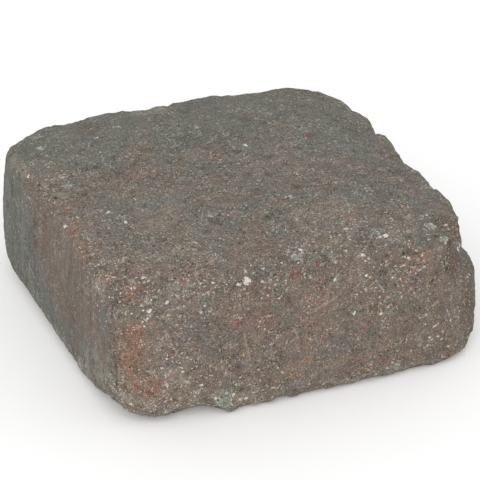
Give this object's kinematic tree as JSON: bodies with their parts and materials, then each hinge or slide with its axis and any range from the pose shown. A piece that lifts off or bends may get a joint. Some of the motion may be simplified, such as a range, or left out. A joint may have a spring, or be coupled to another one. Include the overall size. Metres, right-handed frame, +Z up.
{
  "type": "concrete paving stone",
  "caption": "Square tumbled concrete paving stone with rounded corners, worn edges and a flat bed, laid in sand beside others to make a paved surface.",
  "frame": {"origin": "middle of the bed, the flat face that the stone lies on", "axes": "+X along the front face, +Y from the front face to the back face, +Z up through the wearing face"},
  "size_m": [0.155, 0.155, 0.06],
  "materials": {
    "concrete": "matte"
  },
  "bodies": {
    "root": {"paving_stone": "concrete"}
  },
  "joints": []
}
